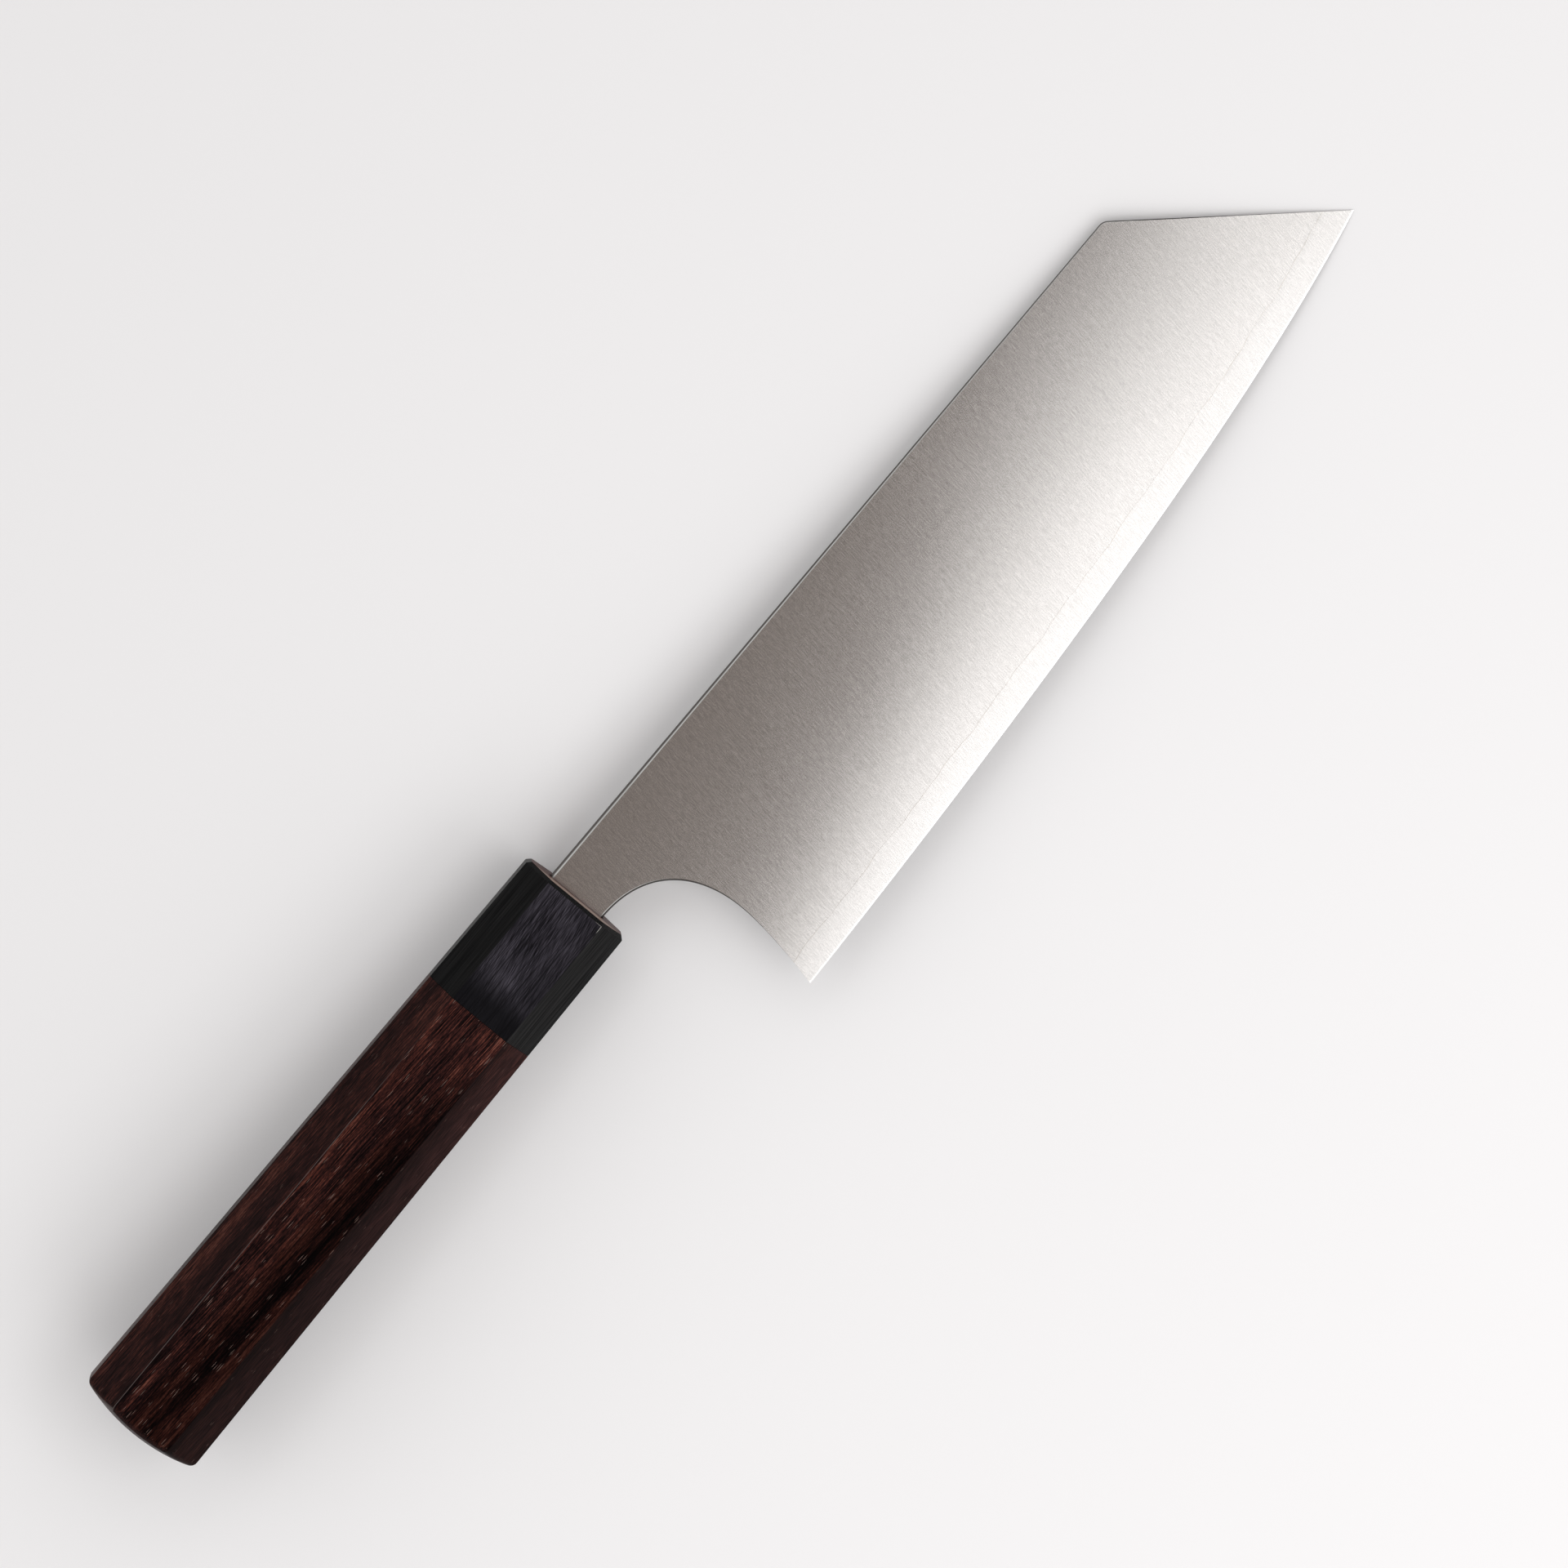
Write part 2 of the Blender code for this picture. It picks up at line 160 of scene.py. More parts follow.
# Worked out from the sizes above
TIP = Vector((HEEL_SETBACK + EDGE_LENGTH, TIP_RISE - HEEL_DEPTH))
HEEL = Vector((HEEL_SETBACK, -HEEL_DEPTH))
NECK_LOW = SPINE_HEIGHT - NECK_WIDTH
GRIND_HEIGHT = SPINE_HEIGHT + HEEL_DEPTH
STATIONS = np.arange(HEEL_SETBACK, TIP.x, LOW_SPACING)


def mix(start, end, share):
    return start + (end - start) * share


# Blade surfaces


def spine_y(x):
    return SPINE_HEIGHT - SPINE_FALL * x / SPINE_LENGTH


def edge_y(x):
    share = (x - HEEL_SETBACK) / EDGE_LENGTH
    sweep = EDGE_SWEEP_SHARE * share**TIP_SWEEP_POWER
    return TIP_RISE * (EDGE_LEAN_SHARE * share + EDGE_BELLY_SHARE * share**2 + sweep) - HEEL_DEPTH


def stock_half(x):
    return mix(SPINE_THICKNESS, CLIP_THICKNESS, max(x, 0) / SPINE_LENGTH) / 2


def ground_half(x, height):
    """Half the blade's thickness at a height above the edge, with the cutting bevel below."""
    share = min(max(height - EDGE_BEVEL_HEIGHT, 0) / (GRIND_HEIGHT - EDGE_BEVEL_HEIGHT), 1)
    half = mix(EDGE_THICKNESS / 2, stock_half(x), 1 - (1 - share) ** 2)
    return half * min(max(height, 0) / EDGE_BEVEL_HEIGHT, 1)


def line_height(x):
    """Where the core's steel ends on the ground face, a little wavy from the forge."""
    wave = 0
    for height, repeats, start in LINE_WAVES:
        wave += height * sin(x * repeats + start)
    return CORE_SHOWN + wave


def core_half(x):
    return ground_half(x, line_height(x))


def tang_half(x):
    share = (-x - NECK_SEAT) / (TANG_LENGTH - NECK_SEAT)
    return mix(TANG_ROOT_WIDTH, TANG_END_WIDTH, share) / 2


def spread(start, end, count):
    """Points from start towards end, without end."""
    return [start.lerp(end, step / count) for step in range(count)]


def choil_path():
    neck = Vector((0, NECK_LOW))
    deepest = Vector((CHOIL_REACH, -CHOIL_DEPTH))
    after_neck = neck + Vector((CHOIL_NECK_PULL, 0))
    above_deepest = deepest + Vector((0, CHOIL_THROAT_PULL))
    below_deepest = deepest - Vector((0, CHOIL_LOWER_PULL))
    before_heel = HEEL + CHOIL_HEEL_PULL * Vector((HEEL_LEAN, 1))
    throat = interpolate_bezier(neck, after_neck, above_deepest, deepest, THROAT_STEPS)
    lower = interpolate_bezier(deepest, below_deepest, before_heel, HEEL, LOWER_CHOIL_STEPS)
    return [Vector(point[:2]) for point in throat + lower[1:-1]]


def corner_path(before, corner, after, radius, steps):
    """A corner rounded to an arc."""
    towards = (before - corner).normalized()
    away = (after - corner).normalized()
    half_angle = towards.angle(away) / 2
    centre = corner + (towards + away).normalized() * radius / sin(half_angle)
    start = corner + towards * radius / tan(half_angle) - centre
    sweep = start.angle_signed(corner + away * radius / tan(half_angle) - centre)
    return [centre + Matrix.Rotation(-sweep * step / steps, 2) @ start for step in range(steps + 1)]


def outline(bottom):
    """The blade's outline, anticlockwise, with the kind of side that leaves each point.

    bottom gives the height above the edge at which the outline's low side runs: 0 for the core.
    """
    clip_corner = Vector((SPINE_LENGTH, spine_y(SPINE_LENGTH)))
    neck_end = Vector((-NECK_SEAT, NECK_LOW))
    neck_start = Vector((0, NECK_LOW))
    spine_end = Vector((-NECK_SEAT, spine_y(-NECK_SEAT)))
    tang_low = [Vector((x, -tang_half(x))) for x in (-TANG_LENGTH, -NECK_SEAT)]
    tang_top = [Vector((x, tang_half(x))) for x in (-NECK_SEAT, -TANG_LENGTH)]
    arc = corner_path(TIP, clip_corner, spine_end, CLIP_CORNER_RADIUS, CLIP_CORNER_STEPS)
    start = [*spread(*tang_low, TANG_STEPS), tang_low[1]]
    start += [*spread(neck_end, neck_start, NECK_STEPS), *choil_path()]
    clip = spread(TIP, arc[0], CLIP_STEPS)
    end = [*arc, *spread(arc[-1], spine_end, SPINE_STEPS)[1:], spine_end]
    end += [*spread(*tang_top, TANG_STEPS), tang_top[1]]

    def above(point):
        return point.y - edge_y(point.x) - bottom(point.x)

    def meeting(inner, outer):
        share = above(inner) / (above(inner) - above(outer))
        return inner.lerp(outer, share)

    heel_side = [point for point in start if above(point) > 0]
    low_start = start[len(heel_side)] if len(heel_side) < len(start) else HEEL
    clip_side = [point for point in clip if above(point) > 1e-9]
    first_below = clip[len(clip) - len(clip_side) - 1]
    left = meeting(heel_side[-1], low_start)
    right = meeting(clip_side[0], first_below)
    heel_side = [point for point in heel_side if (point - left).length > CORNER_SPACING]
    clip_side = [point for point in clip_side if (point - right).length > CORNER_SPACING]
    along = [x for x in STATIONS if left.x + LOW_END_SPACING < x < right.x - LOW_END_SPACING]
    low = [left, *[Vector((x, edge_y(x) + bottom(x))) for x in along]]
    points = [*heel_side, *low, right, *clip_side, *end]
    kinds = ["rim"] * len(heel_side) + ["low"] * len(low) + ["rim"] * (1 + len(clip_side) + len(end))
    return points, kinds


def rims(points, kinds, from_half, to_half, low_run, steps):
    """Rings set in from the outline, round on the polished rim and following the grind on the low side.

    from_half and to_half give the heights of the first and last ring above the blade's middle.
    """
    count = len(points)
    normals = []
    for i in range(count):
        side = (points[(i + 1) % count] - points[i]).normalized()
        normals.append(Vector((-side.y, side.x)))
    rings = []
    for step in range(steps + 1):
        share = step / steps
        flat, lifts = [], []
        for i, point in enumerate(points):
            half = stock_half(point.x)
            start = asin(min(from_half(point) / (RIM_CROWN * half), 1))
            end = max(asin(min(to_half(point) / (RIM_CROWN * half), 1)), start)
            turn = mix(start, end, share)
            inset = {"rim": half * (1 - cos(turn)), "low": low_run * share}
            before, after = normals[i - 1], normals[i]
            d1, d2 = inset[kinds[i - 1]], inset[kinds[i]]
            cross = before.x * after.y - before.y * after.x
            in_line = abs(cross) < 1e-3
            if in_line:
                move = (before + after).normalized() * (d1 + d2) / 2
            else:
                move = Vector((d1 * after.y - d2 * before.y, d2 * before.x - d1 * after.x)) / cross
            here = point + move
            flat.append(here)
            if "low" in (kinds[i - 1], kinds[i]) or step == steps:
                lifts.append(min(ground_half(here.x, here.y - edge_y(here.x)), to_half(here)))
            else:
                lifts.append(RIM_CROWN * half * sin(turn))
        rings.append((flat, lifts))
    return rings


def far_inside(points, ring, margin):
    """Which of the points are inside a ring and at least margin from it."""
    ring = np.array([tuple(point) for point in ring])
    start, side = ring, np.roll(ring, -1, 0) - ring
    kept = []
    for point in points:
        offset = np.array(point) - start
        share = np.clip((offset * side).sum(1) / np.maximum((side**2).sum(1), TINY), 0, 1)
        near = np.hypot(*(offset - share[:, None] * side).T).min()
        crosses = (start[:, 1] > point[1]) != ((start + side)[:, 1] > point[1])
        rise = np.where(side[:, 1] == 0, TINY, side[:, 1])
        inside = (crosses & (offset[:, 0] < side[:, 0] * offset[:, 1] / rise)).sum() % 2 == 1
        if inside and near > margin:
            kept.append(point)
    return kept


def triangles(ring, inner, chain):
    """A constrained Delaunay fill of a ring. chain is (start, end, points) of a line across it, or empty.

    Returns the places of its corners, its faces, and for each place the number of the point it was.
    """
    scale = 1000
    epsilon = 1e-7
    coords = [Vector(point) * scale for point in [*ring, *inner]]
    sides = [(i, (i + 1) % len(ring)) for i in range(len(ring))]
    if chain:
        first = len(coords)
        coords += [Vector(point) * scale for point in chain[2]]
        path = [chain[0], *range(first, len(coords)), chain[1]]
        sides += list(zip(path, path[1:]))
    made = delaunay_2d_cdt(coords, sides, [], 0, epsilon, True)
    places = [point / scale for point in made[0]]
    source = [ids[0] if ids else None for ids in made[3]]
    middles = [tuple(sum((places[k] for k in face), Vector((0, 0))) / 3) for face in made[2]]
    within = set(far_inside(middles, ring, 0))
    return places, [face for face, middle in zip(made[2], middles) if middle in within], source


def fill(bm, ring, inner, chain, height_of, side, turned):
    """Fills a ring of vertices with triangles. height_of gives the inner points their height."""
    places, faces, source = triangles([vertex.co.xy for vertex in ring], inner, chain)
    verts = []
    for place, known in zip(places, source):
        if known is not None and known < len(ring):
            verts.append(ring[known])
        else:
            verts.append(bm.verts.new((place.x, place.y, side * height_of(place))))
    for corners in faces:
        corners = [verts[k] for k in corners]
        bm.faces.new(corners[::-1] if turned else corners)


def surface(bm, rings, polished, height_of, inner, chain, side):
    """Adds the rim rings and the filled face inside them. Returns the outermost ring's vertices.

    polished tells of each side of the ring whether it is on the polished rim.
    """
    layers = []
    for flat, lifts in rings:
        layers.append([bm.verts.new((point.x, point.y, side * lift)) for point, lift in zip(flat, lifts)])
    count = len(layers[0])
    for lower, upper in zip(layers, layers[1:]):
        for i in range(count):
            j = (i + 1) % count
            corners = (lower[i], lower[j], upper[j], upper[i])
            face = bm.faces.new(corners if side > 0 else corners[::-1])
            face.material_index = POLISHED if polished[i] else BRUSHED
    fill(bm, layers[-1], inner, chain, height_of, side, side < 0)
    return layers[0]


def grid(heights):
    """Points in rows at heights above the edge, before they are cut to a ring."""
    stations = np.arange(-TANG_LENGTH, TIP.x, GRID_SPACING)
    return [(x, edge_y(x) + height) for x in stations for height in heights]


def finish_mesh(bm, name, sharp_angle):
    """Turns a bmesh into an object, smooth except where its faces meet at more than an angle in degrees."""
    bmesh.ops.remove_doubles(bm, verts=bm.verts, dist=MERGE_DISTANCE)
    bmesh.ops.recalc_face_normals(bm, faces=bm.faces)
    mesh = bpy.data.meshes.new(name)
    bm.to_mesh(mesh)
    bm.free()
    mesh.shade_smooth()
    mesh.set_sharp_from_angle(angle=radians(sharp_angle))
    piece = bpy.data.objects.new(name, mesh)
    bpy.context.scene.collection.objects.link(piece)
    return piece


def shade_ground(piece, half_at):
    """Gives the ground faces the slope of their own formula, so that reflections run smoothly over them.

    Each corner is read a little inside its face, so that the bevel and the lamination line stay crisp.
    """
    mesh = piece.data
    step = 0.000001
    inward = 0.05
    flat_enough = 0.9
    normals = [(0, 0, 0)] * len(mesh.loops)
    for face in mesh.polygons:
        outward = face.normal.z * face.center.z > 0
        if face.material_index == POLISHED or abs(face.normal.z) < flat_enough or not outward:
            continue
        for loop in face.loop_indices:
            x, y, _ = mesh.vertices[mesh.loops[loop].vertex_index].co.lerp(face.center, inward)
            slope_x = (half_at(Vector((x + step, y))) - half_at(Vector((x - step, y)))) / (2 * step)
            slope_y = (half_at(Vector((x, y + step))) - half_at(Vector((x, y - step)))) / (2 * step)
            up = 1 if face.normal.z > 0 else -1
            normals[loop] = Vector((-slope_x, -slope_y, up)).normalized()
    mesh.normals_split_custom_set(normals)


def mark_line(piece):
    """Keeps each point's height above the lamination line, in millimetres, for the steel's material."""
    attribute = piece.data.attributes.new("above_line", "FLOAT", "POINT")
    for vertex, item in zip(piece.data.vertices, attribute.data):
        x, y, _ = vertex.co
        item.value = 1000 * (y - edge_y(x) - line_height(x))


def make_core():
    """The core, with the lamination line as a row of edges on both ground faces."""
    points, kinds = outline(lambda x: 0)

    def top(point):
        return min(core_half(point.x), ground_half(point.x, point.y - edge_y(point.x)))

    def cleared(point):
        """The face that the claddings hide lies a little lower, clear of their thin lower edges."""
        above = point.y - edge_y(point.x) - line_height(point.x)
        return top(point) - BOND_CLEARANCE * min(max(above, 0) / CLEARED_WITHIN, 1)

    rings = rims(points, kinds, lambda point: 0, top, EDGE_BEVEL_HEIGHT, CORE_RIM_STEPS)
    ring = rings[-1][0]
    line = [(x, edge_y(x) + line_height(x)) for x in STATIONS]
    covered = [(x, y + CLEARED_WITHIN) for x, y in line]
    inner = far_inside(grid(CORE_ROWS) + covered, ring, CORE_MARGIN)
    line = far_inside(line, ring, LINE_MARGIN)
    gaps = [abs(point.y - edge_y(point.x) - line_height(point.x)) for point in ring]
    near_heel = [i for i, point in enumerate(ring) if point.x < NEAR_HEEL.x and point.y < NEAR_HEEL.y]
    near_tip = [i for i, point in enumerate(ring) if point.x > NEAR_TIP_X]
    left = min(near_heel, key=gaps.__getitem__)
    right = min(near_tip, key=gaps.__getitem__)
    polished = [kind == "rim" for kind in kinds]
    bm = bmesh.new()
    for side in (1, -1):
        surface(bm, rings, polished, cleared, inner, (left, right, line), side)
    core = finish_mesh(bm, "blade_core", BLADE_SHARP_ANGLE)
    shade_ground(core, top)
    return core


def make_cladding(name, side):
    """A cladding, closed by a hidden face that lies just clear of the core. side is 1 or -1."""

    def bottom(x):
        """Height where the ground face leaves the bond line."""
        step = 0.0001
        slope = (ground_half(x, CORE_SHOWN + step) - ground_half(x, CORE_SHOWN)) / step
        return line_height(x) + BOND_LINE / slope

    def floor_half(point):
        return core_half(point.x) + BOND_LINE

    def top(point):
        return max(ground_half(point.x, point.y - edge_y(point.x)), floor_half(point))

    points, kinds = outline(bottom)
    rings = rims(points, kinds, floor_half, top, CLADDING_LOW_RUN, CLADDING_RIM_STEPS)
    rows = [*FIRST_CLADDING_ROWS, *np.arange(CLADDING_ROW_START, GRIND_HEIGHT, CLADDING_ROW_SPACING)]
    inner = far_inside(grid(rows), rings[-1][0], CLADDING_MARGIN)
    bm = bmesh.new()
    outer = surface(bm, rings, [kind == "rim" for kind in kinds], top, inner, (), side)
    row = [(x, edge_y(x) + line_height(x) + CLEARED_WITHIN) for x in STATIONS]
    row = far_inside(row, [vertex.co.xy for vertex in outer], HIDDEN_ROW_MARGIN)
    fill(bm, outer, row, (), floor_half, side, side > 0)
    cladding = finish_mesh(bm, name, BLADE_SHARP_ANGLE)
    shade_ground(cladding, lambda point: ground_half(point.x, point.y - edge_y(point.x)))
    return cladding


# Handle


def octagon(x, inset):
    """The corners on the spine's side of the handle's section at x, from the lower to the upper flat."""
    share = -x / HANDLE_LENGTH
    width = mix(FRONT_WIDTH, BUTT_WIDTH, share) / 2 - inset - ROUNDING
    depth = mix(FRONT_DEPTH, BUTT_DEPTH, share) / 2 - inset - ROUNDING
    top = mix(FRONT_TOP_FLAT, BUTT_TOP_FLAT, share) / 2 - inset * tan(pi / 8)
    side = mix(FRONT_SIDE_FLAT, BUTT_SIDE_FLAT, share) / 2 - inset * tan(pi / 8)
    return [(top, -depth), (width, -side), (width, side), (top, depth)]


def handle_section(x, inset=0.0):
    """The octagon at x with rounded arrises, as points round the axis."""
    right = [Vector(corner) for corner in octagon(x, inset)]
    corners = right + [Vector((-corner.x, corner.y)) for corner in reversed(right)]
    arrises = []
    for before, corner, after in zip(corners[-1:] + corners[:-1], corners, corners[1:] + corners[:1]):
        start = corner + (before - corner).normalized() * ARRIS_CUT
        end = corner + (after - corner).normalized() * ARRIS_CUT
        arris = []
        for step in range(ARRIS_STEPS + 1):
            t = step / ARRIS_STEPS
            arris.append(start * (1 - t) ** 2 + corner * 2 * t * (1 - t) + end * t**2)
        arrises.append(arris)
    points = []
    for arris, following in zip(arrises, arrises[1:] + arrises[:1]):
        points += arris
        points += [arris[-1].lerp(following[0], step / FLAT_STEPS) for step in range(1, FLAT_STEPS)]
    return points


def ring_at(x, inset=0.0):
    """The handle's section as points in space."""
    return [(x, *point) for point in handle_section(x, inset)]


def loft(rings):
    """A closed bmesh through rings of points. The last ring may be a single point."""
    bm = bmesh.new()
    made = [[bm.verts.new(point) for point in ring] for ring in rings]
    for ring, following in zip(made, made[1:]):
        for i, corner in enumerate(ring):
            j = (i + 1) % len(ring)
            if len(following) == 1:
                bm.faces.new((corner, ring[j], following[0]))
            else:
                bm.faces.new((corner, ring[j], following[j], following[i]))
    bm.faces.new(made[0])
    if len(made[-1]) > 1:
        bm.faces.new(made[-1])
    return bm


def cut(piece, cutters):
    """Cuts closed meshes out of a piece and keeps the result as its mesh."""
    helpers = []
    for bm in cutters:
        bmesh.ops.recalc_face_normals(bm, faces=bm.faces)
        mesh = bpy.data.meshes.new("cutter")
        bm.to_mesh(mesh)
        bm.free()
        helper = bpy.data.objects.new("cutter", mesh)
        bpy.context.scene.collection.objects.link(helper)
        modifier = piece.modifiers.new("cut", "BOOLEAN")
        modifier.operation = "DIFFERENCE"
        modifier.object = helper
        helpers.append(helper)
    weighted = piece.modifiers.new("weighted", "WEIGHTED_NORMAL")
    weighted.keep_sharp = True
    bpy.context.view_layer.update()
    result = bpy.data.meshes.new_from_object(piece.evaluated_get(bpy.context.evaluated_depsgraph_get()))
    piece.modifiers.clear()
    old = piece.data
    piece.data = result
    bpy.data.meshes.remove(old)
    result.name = piece.name
    for helper in helpers:
        bpy.data.objects.remove(helper)
    return piece


def box_loft(low, high):
    corners = [(low[1], low[2]), (high[1], low[2]), (high[1], high[2]), (low[1], high[2])]
    return loft([[(x, y, z) for y, z in corners] for x in (low[0], high[0])])


def rod_loft(start, end, radius):
    turns = [2 * pi * step / ROD_SIDES for step in range(ROD_SIDES)]
    return loft([[(x, radius * cos(turn), radius * sin(turn)) for turn in turns] for x in (start, end)])


def domed_rings():
    """The rings of the butt: its rounded edge, then the dome in to the middle."""
    dome_centre = BUTT_DOME_RADIUS - HANDLE_LENGTH
    rim = []
    for i, point in enumerate(handle_section(-HANDLE_LENGTH)):
        reach = point.length - BUTT_EDGE_RADIUS
        edge_centre = dome_centre - sqrt((BUTT_DOME_RADIUS - BUTT_EDGE_RADIUS) ** 2 - reach**2)
        rim.append((handle_section(edge_centre)[i], edge_centre, atan2(dome_centre - edge_centre, reach)))
    rings = []
    for step in range(BUTT_EDGE_STEPS + 1):
        ring = []
        for side_point, edge_centre, turn in rim:
            angle = turn * step / BUTT_EDGE_STEPS
            radius = side_point.length - BUTT_EDGE_RADIUS * (1 - cos(angle))
            ring.append((edge_centre - BUTT_EDGE_RADIUS * sin(angle), *(side_point.normalized() * radius)))
        rings.append(ring)
    last = rings[-1]
    for step in range(BUTT_DOME_STEPS - 1, 0, -1):
        ring = []
        for _, y, z in last:
            y, z = y * step / BUTT_DOME_STEPS, z * step / BUTT_DOME_STEPS
            ring.append((dome_centre - sqrt(BUTT_DOME_RADIUS**2 - hypot(y, z) ** 2), y, z))
        rings.append(ring)
    return [*rings, [(-HANDLE_LENGTH, 0, 0)]]


def make_ferrule():
    """The ferrule, with a slot for the blade's neck in front and the dowel's bore behind."""
    half = CHAMFER_EASE / 2
    front = [ring_at(0, FERRULE_CHAMFER + CHAMFER_EASE), ring_at(-half, FERRULE_CHAMFER - half)]
    front += [ring_at(-FERRULE_CHAMFER + half, half), ring_at(-FERRULE_CHAMFER - CHAMFER_EASE)]
    steps = range(FERRULE_STEPS + 1)
    along = [ring_at(mix(FERRULE_RINGS_START, -FERRULE_LENGTH, step / FERRULE_STEPS)) for step in steps]
    ferrule = finish_mesh(loft(front + along), "ferrule_wood", HANDLE_SHARP_ANGLE)
    slot = box_loft(
        (-NECK_SEAT - SLOT_GAP - GLUE_GAP, NECK_LOW - SLOT_GAP, -SPINE_THICKNESS / 2 - SLOT_GAP),
        (CUTTER_FRONT, SPINE_HEIGHT + SLOT_GAP, SPINE_THICKNESS / 2 + SLOT_GAP),
    )
    return cut(ferrule, [slot, rod_loft(-NECK_SEAT, CUTTER_REAR, BORE_RADIUS)])


def make_grip():
    """The handle's body, with the dowel's bore."""
    front = -FERRULE_LENGTH - JOINT_GAP
    steps = range(GRIP_STEPS + 1)
    along = [ring_at(mix(front, BUTT_RINGS_START, step / GRIP_STEPS)) for step in steps]
    grip = finish_mesh(loft(along + domed_rings()), "handle_wood", HANDLE_SHARP_ANGLE)
    return cut(grip, [rod_loft(0, BORE_END, BORE_RADIUS)])


# Helpers for materials


def node(tree, kind, inputs=(), output=0, **settings):
    """A node with its inputs set or linked. Returns one of its outputs."""
    made = tree.nodes.new("ShaderNode" + kind)
    for name, value in settings.items():
        setattr(made, name, value)
    for key, value in dict(inputs).items():
        if isinstance(value, bpy.types.NodeSocket):
            tree.links.new(value, made.inputs[key])
        else:
            made.inputs[key].default_value = value
    return made.outputs[output]


def maths(tree, operation, *values):
    return node(tree, "Math", dict(enumerate(values)), operation=operation)


def product(tree, first, second):
    return maths(tree, "MULTIPLY", first, second)


def scaled(tree, colour, factor):
    """A colour times a number or a colour."""
    return node(tree, "VectorMath", {0: colour, 1: factor}, operation="MULTIPLY")


def split(tree, vector):
    """The X, Y and Z of a vector."""
    made = tree.nodes.new("ShaderNodeSeparateXYZ")
    tree.links.new(vector, made.inputs[0])
    return made.outputs


def noise(tree, vector, detail=2.0, roughness=0.5):
    inputs = {"Vector": vector, "Scale": 1.0, "Detail": detail, "Roughness": roughness}
    return node(tree, "TexNoise", inputs)


def axes(tree, coords, *directions):
    """The coordinates measured along three directions, each scaled by its own length."""
    parts = []
    for direction in directions:
        inputs = {0: coords, 1: direction}
        parts.append(node(tree, "VectorMath", inputs, "Value", operation="DOT_PRODUCT"))
    return node(tree, "CombineXYZ", dict(enumerate(parts)))


def stretched(tree, coords, x, y, z, detail=2.0, roughness=0.5):
    """Noise with its own number of repeats to the metre along X, Y and Z."""
    return noise(tree, axes(tree, coords, (x, 0, 0), (0, y, 0), (0, 0, z)), detail, roughness)


def ramp(tree, factor, stops):
    made = tree.nodes.new("ShaderNodeValToRGB")
    tree.links.new(factor, made.inputs[0])
    elements = made.color_ramp.elements
    while len(elements) < len(stops):
        elements.new(0.5)
    for element, (place, colour) in zip(elements, stops):
        element.position = place
        element.color = (*colour, 1)
    return made.outputs[0]


def span(tree, value, low, high, to_low=0.0, to_high=1.0, kind="LINEAR"):
    """Goes from to_low to to_high while the value goes from low to high."""
    inputs = {0: value, 1: low, 2: high, 3: to_low, 4: to_high}
    return node(tree, "MapRange", inputs, interpolation_type=kind, clamp=True)


def blend(tree, factor, first, second):
    made = tree.nodes.new("ShaderNodeMix")
    made.data_type = "RGBA"
    for key, value in ((0, factor), (6, first), (7, second)):
        if isinstance(value, bpy.types.NodeSocket):
            tree.links.new(value, made.inputs[key])
        else:
            made.inputs[key].default_value = (*value, 1)
    return made.outputs[2]


def new_material(name):
    material = bpy.data.materials.new(name)
    material.use_nodes = True
    tree = material.node_tree
    shader = tree.nodes["Principled BSDF"]
    coords = node(tree, "TexCoord", output="Object")
    return material, tree, shader, coords


def surface_normal(tree):
    return node(tree, "NewGeometry", output="Normal")


def bump(tree, shader, height, distance):
    made = tree.nodes.new("ShaderNodeBump")
    made.inputs["Strength"].default_value = 1.0
    made.inputs["Distance"].default_value = distance
    tree.links.new(height, made.inputs["Height"])
    tree.links.new(made.outputs[0], shader.inputs["Normal"])


# Materials. Scales are repeats to the metre, and places and distances are metres.

CORE_LIGHT, CORE_DARK = (0.725, 0.721, 0.715), (0.565, 0.561, 0.555)
CLADDING_LIGHT, CLADDING_DARK = (0.72, 0.714, 0.706), (0.54, 0.534, 0.526)
LINE_COLOUR = (0.56, 0.52, 0.46)
LINE_REACH = 0.10  # millimetres to either side of the lamination line
STEEL_ROUGHNESS = 0.18
STEEL_ANISOTROPY = 0.7


